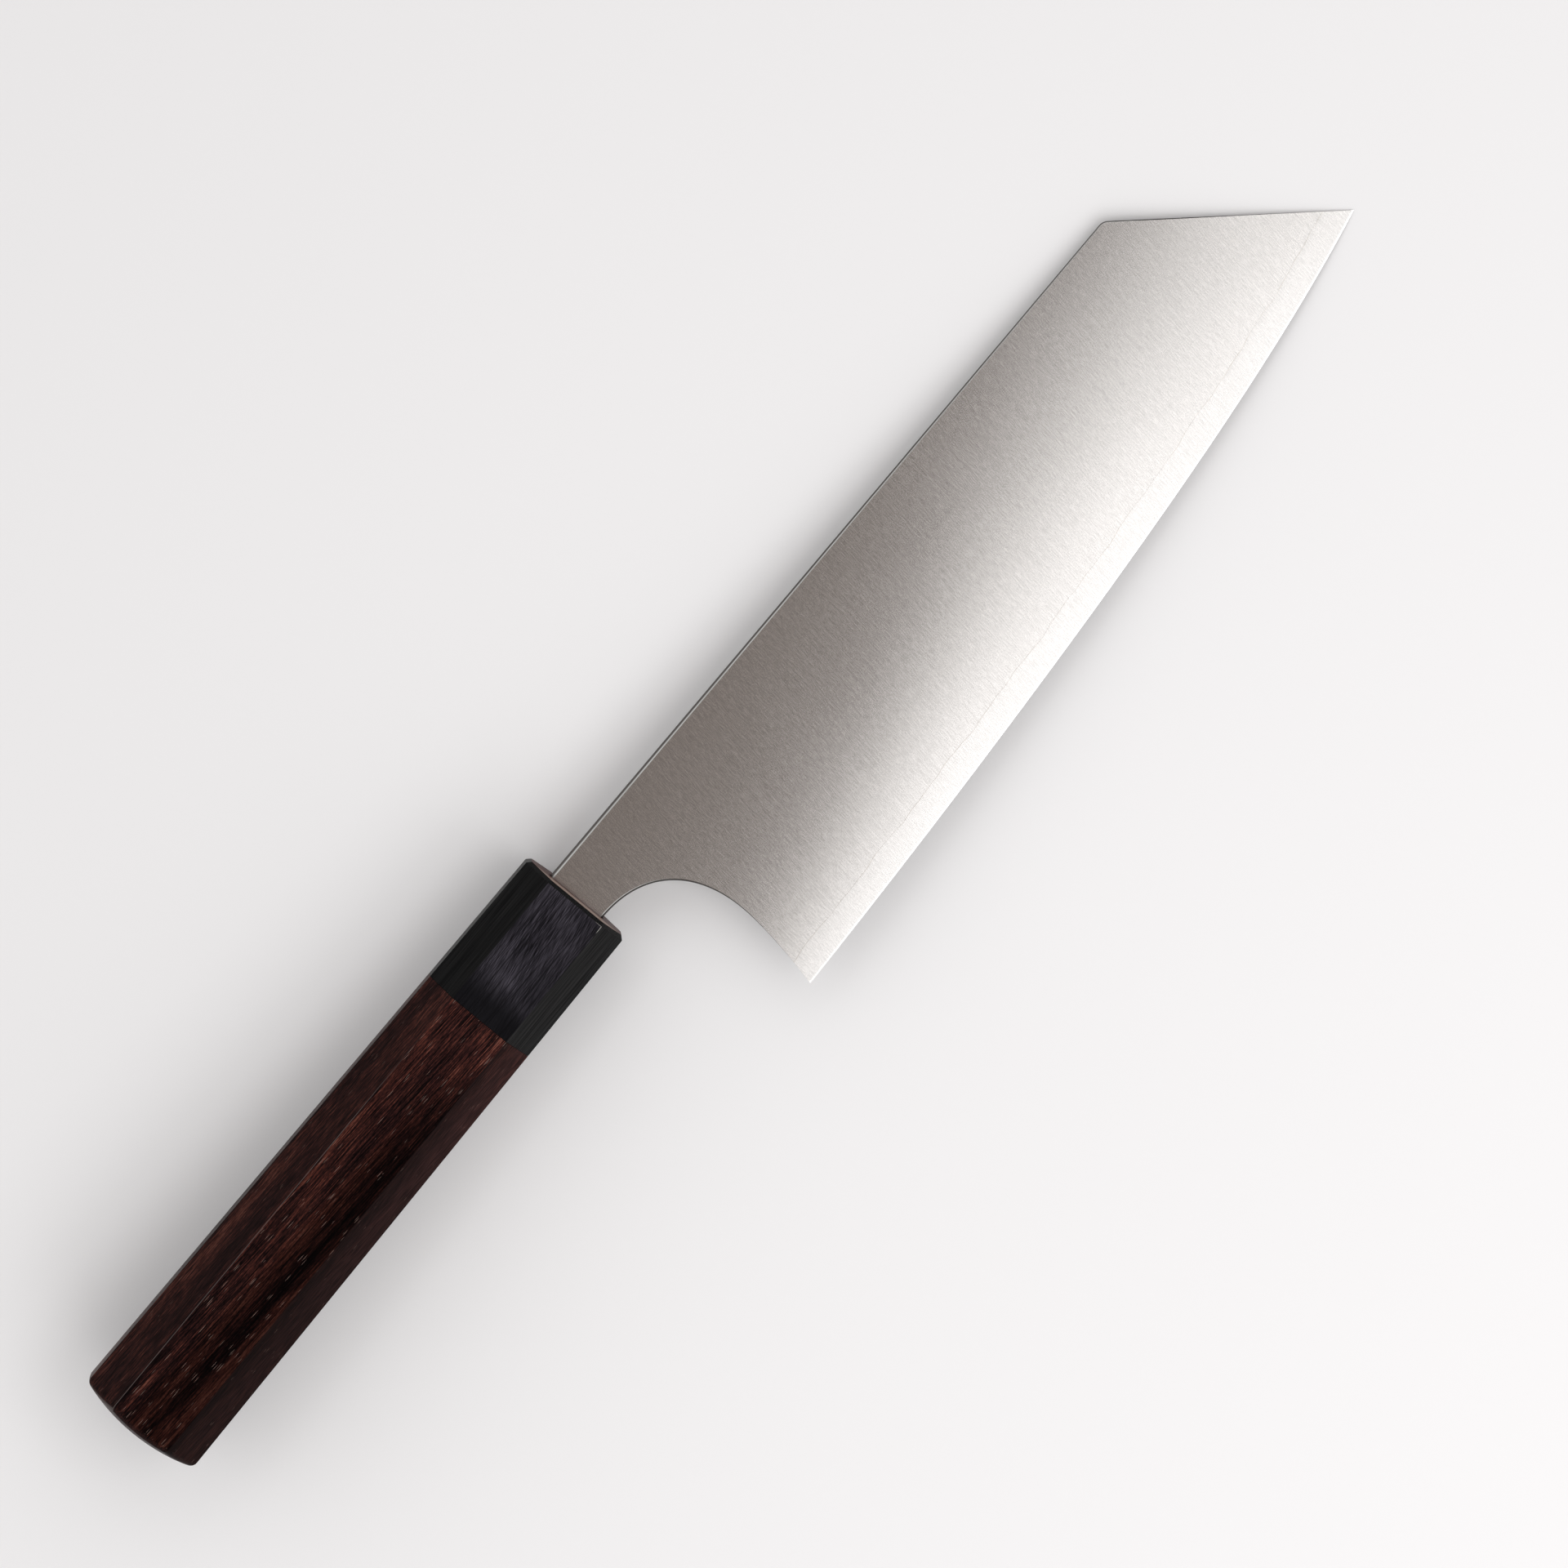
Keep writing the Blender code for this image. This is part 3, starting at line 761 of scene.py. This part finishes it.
def brushed_steel(name, light, dark):
    """Satin steel with fine belt marks across the blade, and a faint line where core and cladding meet."""
    material, tree, shader, coords = new_material(name)
    shader.inputs["Metallic"].default_value = 1.0
    shader.inputs["Anisotropic"].default_value = STEEL_ANISOTROPY
    tree.links.new(node(tree, "CombineXYZ", {0: 1.0}), shader.inputs["Tangent"])

    short = noise(tree, axes(tree, coords, (6400, -820, 0), (0, 600, 0), (0, 0, 60)), 1.0, 0.6)
    long = noise(tree, axes(tree, coords, (4600, -590, 0), (0, 95, 0), (0, 0, 60)), 1.0, 0.5)
    speckle = stretched(tree, coords, 5200, 4800, 60, 0.0)
    cloud = stretched(tree, coords, 26, 40, 20)
    marks = maths(tree, "MULTIPLY_ADD", short, 0.42, product(tree, long, 0.22))
    marks = maths(tree, "MULTIPLY_ADD", speckle, 0.36, marks)
    colour = ramp(tree, marks, [(0.385, dark), (0.615, light)])

    above = node(tree, "Attribute", output="Fac", attribute_name="above_line")
    near = span(tree, maths(tree, "ABSOLUTE", above), 0.0, LINE_REACH, 1.0, 0.0, "SMOOTHSTEP")
    broken = span(tree, stretched(tree, coords, 160, 160, 10), 0.38, 0.6, 0.15, 0.6)
    colour = blend(tree, product(tree, near, broken), colour, LINE_COLOUR)

    x, y, _ = split(tree, coords)
    # Painted shade: towards the tip the blade's upper part is darkened by up to 5 percent.
    painted_tip_shade = product(tree, span(tree, x, 0.105, 0.155, 0.0, 0.05), span(tree, y, -0.032, -0.022))
    colour = blend(tree, painted_tip_shade, colour, (0, 0, 0))
    tree.links.new(colour, shader.inputs["Base Color"])

    rough = maths(tree, "MULTIPLY_ADD", marks, 0.06, STEEL_ROUGHNESS - 0.03)
    rough = maths(tree, "MULTIPLY_ADD", cloud, 0.03, maths(tree, "SUBTRACT", rough, 0.015))
    rough = maths(tree, "ADD", rough, span(tree, x, 0.06, 0.14, -0.014, 0.026))
    tree.links.new(rough, shader.inputs["Roughness"])
    bump(tree, shader, marks, 0.0000001)
    return material


RIM_DARK, RIM_LIGHT = (0.50, 0.495, 0.48), (0.60, 0.595, 0.58)
# Painted shade for the rim where it faces sideways, on the choil and on the spine, standing in for the dark
# reflection of the shaded floor.
CHOIL_PAINTED_SHADE, SPINE_PAINTED_SHADE = (0.045, 0.040, 0.036), (0.090, 0.083, 0.078)


def polished_steel(name):
    """The rounded spine and choil, polished along their length, with painted shade where they face sideways
    and a painted dimming of the spine's rim.
    """
    material, tree, shader, coords = new_material(name)
    shader.inputs["Metallic"].default_value = 1.0
    lines = stretched(tree, coords, 120, 160, 5000, 2.0, 0.6)
    upright = maths(tree, "ABSOLUTE", split(tree, surface_normal(tree))[2])
    # Painted shade: the rim's colour goes dark where its normal turns sideways.
    shade = span(tree, upright, 0.74, 0.87, 0.0, 1.0, "SMOOTHSTEP")
    on_spine = span(tree, split(tree, coords)[1], 0.0, 0.003)
    colour = ramp(tree, lines, [(0.3, RIM_DARK), (0.7, RIM_LIGHT)])
    # Painted shade: the spine's rim is dimmed to 0.58 of the choil's.
    colour = scaled(tree, colour, span(tree, on_spine, 0, 1, 1.0, 0.58))
    colour = blend(tree, shade, blend(tree, on_spine, CHOIL_PAINTED_SHADE, SPINE_PAINTED_SHADE), colour)
    tree.links.new(colour, shader.inputs["Base Color"])
    tree.links.new(span(tree, lines, 0.3, 0.7, 0.17, 0.24), shader.inputs["Roughness"])
    bump(tree, shader, lines, 0.000001)
    return material


def fibres(tree, coords, along, across, slant=0.0, detail=2.0, shift=None):
    """Noise drawn out along the handle. along and across are its scales."""
    sideways = (slant * across, across, 0.3 * across)
    place = axes(tree, coords, (along, 0, 0), sideways, (0, -0.3 * across, across))
    if shift is not None:
        place = node(tree, "VectorMath", {0: place, 1: shift}, operation="ADD")
    return noise(tree, place, detail, 0.6)


def on_arris(tree, sideways):
    """1 on the rounded arris between the top flat and the spine-side chamfer."""
    rising = span(tree, sideways, 0.12, 0.3, kind="SMOOTHSTEP")
    falling = span(tree, sideways, 0.5, 0.64, 1.0, 0.0, "SMOOTHSTEP")
    return product(tree, rising, falling)


ROSEWOOD_TONES = [
    (0.26, (0.0020, 0.0012, 0.0013)),
    (0.42, (0.0080, 0.0034, 0.0033)),
    (0.56, (0.0210, 0.0070, 0.0060)),
    (0.70, (0.0480, 0.0140, 0.0100)),
    (0.88, (0.0950, 0.0350, 0.0250)),
]
# Painted reflection on the chamfers, paler on the edge's side than on the spine's, broken by dark threads.
EDGE_SIDE_PAINTED_SHEEN, SPINE_SIDE_PAINTED_SHEEN = (0.044, 0.0190, 0.0178), (0.020, 0.0092, 0.0086)
PAINTED_SHEEN_THREADS = (0.002, 0.001, 0.001)
# Painted highlight on the spine-side arris.
ARRIS_PAINTED_HIGHLIGHT = (0.085, 0.070, 0.066)
PORE_COLOUR = (0.23, 0.155, 0.13)
GRAIN_SLANT = 0.05
ROSEWOOD_SPECULAR = 0.016


def rosewood():
    """Streaked dark wood. The chamfers carry a painted reflection, paler on the edge's side, the spine-side
    arris a painted highlight towards the butt, and the top flat has a dark band and pale pores.
    """
    material, tree, shader, coords = new_material("rosewood")
    x, y, _ = split(tree, coords)
    _, sideways, upward = split(tree, surface_normal(tree))

    wander = stretched(tree, coords, 22, 90, 90, 1.0)
    wander = product(tree, maths(tree, "SUBTRACT", wander, 0.5), 1.4)
    shift = node(tree, "CombineXYZ", {1: wander})
    bands = fibres(tree, coords, 9, 300, GRAIN_SLANT, 1.0, shift)
    streaks = fibres(tree, coords, 60, 2600, GRAIN_SLANT, 2.0, shift)
    threads = fibres(tree, coords, 240, 6200, GRAIN_SLANT, 0.0)
    grain = noise(tree, axes(tree, coords, (1500, 0, 0), (75, 6500, 0), (0, 0, 6500)), 0.0)
    tone = maths(tree, "MULTIPLY_ADD", bands, 0.9, product(tree, streaks, 0.6))
    tone = maths(tree, "MULTIPLY_ADD", threads, 0.7, tone)
    tone = maths(tree, "MULTIPLY_ADD", grain, 0.35, tone)
    tone = maths(tree, "SUBTRACT", tone, 0.775)
    colour = ramp(tree, tone, ROSEWOOD_TONES)

    grain_line = maths(tree, "MULTIPLY_ADD", x, GRAIN_SLANT, y)
    low = span(tree, grain_line, -0.0048, -0.0018, 0.62, 0.0, "SMOOTHSTEP")
    dark_band = product(tree, low, span(tree, x, -0.060, -0.035, 1.0, 0.0))
    colour = scaled(tree, colour, maths(tree, "SUBTRACT", 1.0, dark_band))
    colour = scaled(tree, colour, span(tree, x, -0.048, -0.034, 1.12, 1.5))

    on_flat = span(tree, maths(tree, "ABSOLUTE", upward), 0.80, 0.95)
    # Painted reflection: off the top flat the wood takes a pale sheen, paler on the edge's side, and on the
    # edge's side strongest at its outer edge and towards the front.
    painted_sheen = blend(tree, span(tree, sideways, -0.4, 0.4), EDGE_SIDE_PAINTED_SHEEN, SPINE_SIDE_PAINTED_SHEEN)
    painted_sheen = blend(tree, span(tree, threads, 0.35, 0.65, 0.72, 0.2), painted_sheen, PAINTED_SHEEN_THREADS)
    outer = span(tree, y, -0.0102, -0.0072, 1.0, 0.4)
    outer = product(tree, outer, span(tree, x, -0.100, -0.045, 0.5, 1.0))
    outer = maths(tree, "MAXIMUM", outer, span(tree, sideways, -0.2, 0.0))
    painted_sheen = scaled(tree, painted_sheen, outer)
    off_flat = span(tree, on_flat, 0, 1, 1.0, 0.0)
    colour = blend(tree, product(tree, off_flat, span(tree, sideways, -0.4, 0.4, 0.8, 0.5)), colour, painted_sheen)

    # Painted highlight: a pale line on the spine-side arris, none in front of 35 mm behind the front,
    # growing to full at 60 mm and on towards the butt.
    painted_highlight = product(tree, span(tree, x, -0.035, -0.06, 0.0, 0.7), on_arris(tree, sideways))
    colour = blend(tree, painted_highlight, colour, ARRIS_PAINTED_HIGHLIGHT)

    cells = tree.nodes.new("ShaderNodeTexVoronoi")
    cells.inputs["Scale"].default_value = 1.0
    cell_axes = axes(tree, coords, (230, 0, 0), (400, 8000, 0), (0, 0, 8000))
    tree.links.new(cell_axes, cells.inputs["Vector"])
    chance = node(tree, "SeparateColor", {0: cells.outputs["Color"]}, 0)
    size = node(tree, "SeparateColor", {0: cells.outputs["Color"]}, 1)
    cluster = noise(tree, axes(tree, coords, (60, 0, 0), (20, 420, 0), (0, 0, 420)), 1.0, 0.5)
    crowd = span(tree, cluster, 0.42, 0.62, 0.06, 0.34)
    crowd = product(tree, crowd, span(tree, on_flat, 0, 1, 0.35, 1.0))
    chosen = maths(tree, "LESS_THAN", chance, crowd)
    pore_reach = maths(tree, "MULTIPLY_ADD", size, 0.18, 0.10)
    inside = maths(tree, "DIVIDE", cells.outputs["Distance"], pore_reach)
    pore = product(tree, span(tree, inside, 0.6, 1.1, 1.0, 0.0), chosen)
    pore = product(tree, pore, span(tree, on_flat, 0, 1, 0.45, 0.9))
    colour = blend(tree, pore, colour, PORE_COLOUR)

    tree.links.new(colour, shader.inputs["Base Color"])
    tree.links.new(span(tree, tone, 0.3, 0.7, 0.36, 0.3), shader.inputs["Roughness"])
    shader.inputs["Specular IOR Level"].default_value = ROSEWOOD_SPECULAR
    relief = maths(tree, "SUBTRACT", product(tree, threads, 0.5), product(tree, pore, 0.8))
    bump(tree, shader, relief, 0.000008)
    return material


BLACK_WOOD_TONES = [
    (0.28, (0.0030, 0.0027, 0.0036)),
    (0.42, (0.0200, 0.0178, 0.0225)),
    (0.58, (0.0430, 0.0385, 0.0480)),
    (0.80, (0.0700, 0.0640, 0.0760)),
]
FINE_LINE_TONES = [(0.35, (0.0010, 0.0010, 0.0011)), (0.75, (0.0130, 0.0127, 0.0127))]
SHADED = (0.0030, 0.0030, 0.0035)
FINE_BLACK = (0.0028, 0.0026, 0.0032)
# Painted highlight at the front corner on the edge's side: its place and colour.
PAINTED_HIGHLIGHT_CORNER = (-0.0009, -0.0066, 0.0098)
PAINTED_HIGHLIGHT_COLOUR = (0.26, 0.25, 0.235)
# The front face: a dark red painted shadow next to the blade, pale brown above it.
FRONT_PAINTED_SHADOW, FRONT_RIM = (0.05, 0.012, 0.008), (0.22, 0.155, 0.125)
BLACK_WOOD_SPECULAR = 0.03


def black_wood():
    """Black wood in slanted layers, with plain fine lines on the chamfers, paler on the edge's side by
    painted light, a painted highlight at the front corner and a painted shadow on the front face next to
    the blade.
    """
    material, tree, shader, coords = new_material("black_wood")
    x, y, z = split(tree, coords)
    forward, sideways, upward = split(tree, surface_normal(tree))
    upright = maths(tree, "ABSOLUTE", upward)

    wander = stretched(tree, coords, 60, 90, 90, 1.0)
    wander = product(tree, maths(tree, "SUBTRACT", wander, 0.5), 5.0)
    shift = node(tree, "CombineXYZ", {2: wander})
    layer = axes(tree, coords, (260, 0, 0), (0, 260, 50), (-1050, 5000, -6200))
    layer = node(tree, "VectorMath", {0: layer, 1: shift}, operation="ADD")
    strands = noise(tree, layer, 3.0, 0.65)
    patch = stretched(tree, coords, 90, 110, 60, 1.0)
    patch = product(tree, maths(tree, "SUBTRACT", patch, 0.5), 0.6)
    colour = ramp(tree, maths(tree, "ADD", strands, patch), BLACK_WOOD_TONES)

    near_spine = span(tree, y, 0.0050, 0.0067, 0.0, 0.45, "SMOOTHSTEP")
    near_grip = span(tree, x, -0.0265, -0.0180, 0.93, 0.0, "SMOOTHSTEP")
    low_rear = span(tree, y, -0.0045, 0.001, 0.55, 0.0)
    low_rear = product(tree, low_rear, span(tree, x, -0.018, -0.010, 1.0, 0.35))
    dark = maths(tree, "MAXIMUM", maths(tree, "MAXIMUM", near_spine, near_grip), low_rear)
    colour = blend(tree, dark, colour, SHADED)
    fine = fibres(tree, coords, 60, 4200)
    colour = blend(tree, span(tree, fine, 0.40, 0.50, 0.7, 0.0), colour, FINE_BLACK)

    lines = ramp(tree, fine, FINE_LINE_TONES)
    # Painted light: the chamfers' fine lines are paler on the edge's side than on the spine's.
    lines = scaled(tree, lines, span(tree, sideways, -0.4, 0.4, 1.6, 0.8))
    colour = blend(tree, span(tree, upright, 0.80, 0.95, 1.0, 0.0), colour, lines)

    # Painted highlight: a pale patch on the arris near the front corner.
    from_corner = node(tree, "VectorMath", {0: coords, 1: PAINTED_HIGHLIGHT_CORNER}, "Value", operation="DISTANCE")
    painted_highlight = span(tree, from_corner, 0.0010, 0.0016, 0.8, 0.0)
    painted_highlight = product(tree, painted_highlight, span(tree, upright, 0.80, 0.86))
    painted_highlight = product(tree, painted_highlight, span(tree, upright, 0.975, 0.99, 1.0, 0.0))
    colour = blend(tree, painted_highlight, colour, PAINTED_HIGHLIGHT_COLOUR)

    # Painted shadow: up to 4 mm above the blade's middle the front face is dark red, as if shaded by the
    # blade; from 5.2 mm up it is pale brown.
    front = blend(tree, span(tree, z, 0.0040, 0.0052), FRONT_PAINTED_SHADOW, FRONT_RIM)
    colour = blend(tree, span(tree, forward, 0.9, 0.97, 0.0, 0.95), colour, front)
    tree.links.new(colour, shader.inputs["Base Color"])
    tree.links.new(span(tree, strands, 0.3, 0.7, 0.38, 0.3), shader.inputs["Roughness"])
    shader.inputs["Specular IOR Level"].default_value = BLACK_WOOD_SPECULAR
    bump(tree, shader, strands, 0.000008)
    return material


DOWEL_DARK, DOWEL_LIGHT = (0.36, 0.22, 0.11), (0.56, 0.39, 0.21)


def pale_wood():
    material, tree, shader, coords = new_material("dowel_wood")
    grain = stretched(tree, coords, 25, 900, 900, 3.0, 0.6)
    tree.links.new(ramp(tree, grain, [(0.3, DOWEL_DARK), (0.7, DOWEL_LIGHT)]), shader.inputs["Base Color"])
    tree.links.new(span(tree, grain, 0.3, 0.7, 0.75, 0.6), shader.inputs["Roughness"])
    bump(tree, shader, grain, 0.00004)
    return material


RESIN_DARK, RESIN_LIGHT = (0.26, 0.15, 0.06), (0.40, 0.26, 0.12)


def resin():
    material, tree, shader, coords = new_material("resin")
    cloud = stretched(tree, coords, 300, 300, 300, 3.0, 0.6)
    tree.links.new(ramp(tree, cloud, [(0.3, RESIN_DARK), (0.7, RESIN_LIGHT)]), shader.inputs["Base Color"])
    tree.links.new(span(tree, cloud, 0.3, 0.7, 0.3, 0.42), shader.inputs["Roughness"])
    bump(tree, shader, cloud, 0.00003)
    return material


# Pieces

core_face = brushed_steel("core_steel_satin", CORE_LIGHT, CORE_DARK)
cladding_face = brushed_steel("cladding_steel_satin", CLADDING_LIGHT, CLADDING_DARK)
rim_finish = polished_steel("steel_polished")

blade = (
    (make_core(), core_face, "core_steel", "core_steel"),
    (make_cladding("blade_cladding_right", 1), cladding_face, "cladding_right", "cladding_steel"),
    (make_cladding("blade_cladding_left", -1), cladding_face, "cladding_left", "cladding_steel"),
)
for piece, face, cad_node, slot in blade:
    mark_line(piece)
    piece.data.materials.append(face)
    piece.data.materials.append(rim_finish)
    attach(piece, "root")
    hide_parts(cad_node)

for piece, material, cad_node, slot in (
    (make_ferrule(), black_wood(), "ferrule", "ferrule_wood"),
    (make_grip(), rosewood(), "handle_body", "handle_wood"),
):
    piece.data.materials.append(material)
    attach(piece, "root")
    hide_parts(cad_node)

for cad_node, material in (("dowel", pale_wood()), ("tang_bedding", resin())):
    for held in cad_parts[cad_node].material_slots:
        held.material = material

# Floor: it passes under the ferrule's lower edge and the tip, as the table does

FLOOR_AT_FERRULE = -0.0098
FLOOR_AT_TIP = -0.0001
FLOOR_REACH = 6.0
FLOOR_COLOUR = (0.70, 0.692, 0.696, 1)
FLOOR_ROUGHNESS = 0.7

floor_slope = (FLOOR_AT_TIP - FLOOR_AT_FERRULE) / TIP.x
floor_bm = bmesh.new()
floor_corners = []
for x, y in ((-1, -1), (1, -1), (1, 1), (-1, 1)):
    x, y = x * FLOOR_REACH, y * FLOOR_REACH
    floor_corners.append(floor_bm.verts.new((x, y, floor_slope * x + FLOOR_AT_FERRULE)))
floor_bm.faces.new(floor_corners)
floor_mesh = bpy.data.meshes.new("floor")
floor_bm.to_mesh(floor_mesh)
floor_bm.free()
floor = bpy.data.objects.new("floor", floor_mesh)
bpy.context.scene.collection.objects.link(floor)
floor_material, _, floor_shader, _ = new_material("floor_paint")
floor_shader.inputs["Base Color"].default_value = FLOOR_COLOUR
floor_shader.inputs["Roughness"].default_value = FLOOR_ROUGHNESS
floor_mesh.materials.append(floor_material)

# Light: a soft panel above the edge's side, a far one for the floor, pale walls and a darker ceiling

OVERHEAD = (0.244, 0.205, 0.184)
WALLS = 1.15
BACK_WALL = 1.4

world = bpy.data.worlds.new("studio")
bpy.context.scene.world = world
world.use_nodes = True
sky = world.node_tree
_, back, height = split(sky, node(sky, "TexCoord", output="Generated"))
wall = span(sky, back, -0.5, 0.5, WALLS, BACK_WALL)
ceiling = span(sky, height, 0.82, 0.90, kind="SMOOTHSTEP")
sky.links.new(blend(sky, ceiling, wall, OVERHEAD), sky.nodes["Background"].inputs["Color"])

PANEL_HEIGHT = 0.62
PANEL_TURN = radians(20.9)
PANEL_CORNER = Vector((-0.11, -0.1725))
PANEL_SIZE = (0.38, 0.42)
FAR_PANEL_CORNER = Vector((-0.9, -0.56))
FAR_PANEL_SIZE = (1.25, 0.5)
PANEL_BRIGHTNESS = 1.73


def add_panel(name, corner, size, turn):
    """A panel facing the floor. corner is its near left corner, and a brightness of 1 is white."""
    light = bpy.data.lights.new(name, "AREA")
    light.shape = "RECTANGLE"
    light.size, light.size_y = size
    light.energy = PANEL_BRIGHTNESS * pi * size[0] * size[1]
    panel = bpy.data.objects.new(name, light)
    bpy.context.scene.collection.objects.link(panel)
    middle = corner + Matrix.Rotation(turn, 2) @ Vector((size[0] / 2, -size[1] / 2))
    panel.location = (*middle, PANEL_HEIGHT)
    panel.rotation_euler = (0, 0, turn)
    panel.visible_camera = False


add_panel("panel", PANEL_CORNER, PANEL_SIZE, PANEL_TURN)
add_panel("far_panel", FAR_PANEL_CORNER, FAR_PANEL_SIZE, 0)

# Camera

FRAME_WIDTH = 0.2997  # metres across the picture at the blade
LENS = 300.0
SENSOR_WIDTH = 36.0
FRAME_CENTRE = Vector((0.04188, -0.01684, 0.0))
TOWARD_CAMERA = Vector((0.049, 0.088, 1)).normalized()
BLADE_TURN = radians(50.298)

along = (Vector((1, 0, 0)) - TOWARD_CAMERA.x * TOWARD_CAMERA).normalized()
across = TOWARD_CAMERA.cross(along)
right = cos(BLADE_TURN) * along - sin(BLADE_TURN) * across
up = sin(BLADE_TURN) * along + cos(BLADE_TURN) * across
turned = Matrix((right, up, TOWARD_CAMERA)).transposed().to_4x4()
distance = FRAME_WIDTH * LENS / SENSOR_WIDTH
camera_data = bpy.data.cameras.new("camera")
camera_data.lens = LENS
camera_data.sensor_width = SENSOR_WIDTH
camera_data.clip_start, camera_data.clip_end = 0.05, 30
camera = bpy.data.objects.new("camera", camera_data)
bpy.context.scene.collection.objects.link(camera)
camera.matrix_world = Matrix.Translation(FRAME_CENTRE + TOWARD_CAMERA * distance) @ turned
bpy.context.scene.camera = camera

bpy.context.scene.view_settings.view_transform = "Standard"
